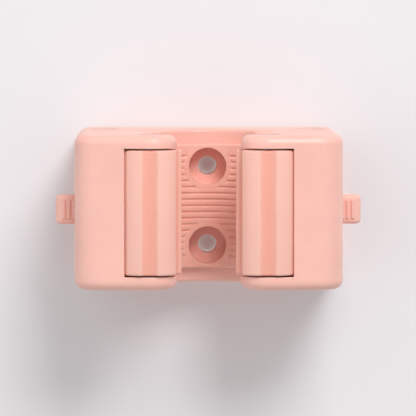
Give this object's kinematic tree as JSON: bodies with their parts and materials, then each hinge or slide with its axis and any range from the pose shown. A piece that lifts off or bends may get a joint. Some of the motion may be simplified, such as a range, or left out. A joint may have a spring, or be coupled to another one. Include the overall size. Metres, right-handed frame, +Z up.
{
  "type": "wall brush holder",
  "caption": "Wall-mounted holder that grips a brush or broom handle in a lined cradle between spring-loaded jaws with ribbed rollers and thumb tabs.",
  "frame": {"origin": "centre of the foam tape's face, on the wall", "axes": "+Z up along the held handle, front towards -Y, +X to the right as seen from the front"},
  "size_m": [0.0732, 0.0435, 0.037],
  "materials": {
    "coral_plastic": "satin moulded plastic",
    "coral_rubber": "matte soft rubber",
    "core_plastic": "natural white plastic",
    "foam": "white adhesive foam",
    "pin_steel": "turned steel",
    "spring_steel": "drawn wire",
    "screw_steel": "zinc plated"
  },
  "bodies": {
    "base": {"foam_tape": "foam", "back_plate": "coral_plastic", "assembly_screws": "screw_steel", "housing": "coral_plastic", "cradle_liner": "coral_rubber", "left_pivot_pin": "pin_steel", "right_pivot_pin": "pin_steel", "left_pivot_push_nut": "spring_steel", "right_pivot_push_nut": "spring_steel", "left_torsion_spring": "spring_steel", "right_torsion_spring": "spring_steel"},
    "left_jaw_body": {"left_jaw": "coral_plastic", "left_axle": "pin_steel", "left_axle_push_nut": "spring_steel"},
    "right_jaw_body": {"right_jaw": "coral_plastic", "right_axle": "pin_steel", "right_axle_push_nut": "spring_steel"},
    "left_roller_body": {"left_roller_core": "core_plastic", "left_roller_tyre": "coral_rubber"},
    "right_roller_body": {"right_roller_core": "core_plastic", "right_roller_tyre": "coral_rubber"}
  },
  "joints": [
    {"name": "left_jaw_swing", "type": "hinge", "parent": "base", "child": "left_jaw_body", "pos_m": [-0.025, -0.011, 0], "axis": [0, 0, -1], "range_deg": [0, 20], "stiffness_Nm_per_rad": 0.15, "springref_deg": -11.46, "deforming": ["left_torsion_spring"]},
    {"name": "right_jaw_swing", "type": "hinge", "parent": "base", "child": "right_jaw_body", "pos_m": [0.025, -0.011, 0], "axis": [0, 0, 1], "range_deg": [0, 20], "stiffness_Nm_per_rad": 0.15, "springref_deg": -11.46, "deforming": ["right_torsion_spring"]},
    {"name": "left_roller_spin", "type": "hinge", "parent": "left_jaw_body", "child": "left_roller_body", "pos_m": [-0.0141, -0.03628, 0], "axis": [0, 0, 1], "continuous": true},
    {"name": "right_roller_spin", "type": "hinge", "parent": "right_jaw_body", "child": "right_roller_body", "pos_m": [0.0141, -0.03628, 0], "axis": [0, 0, 1], "continuous": true}
  ]
}
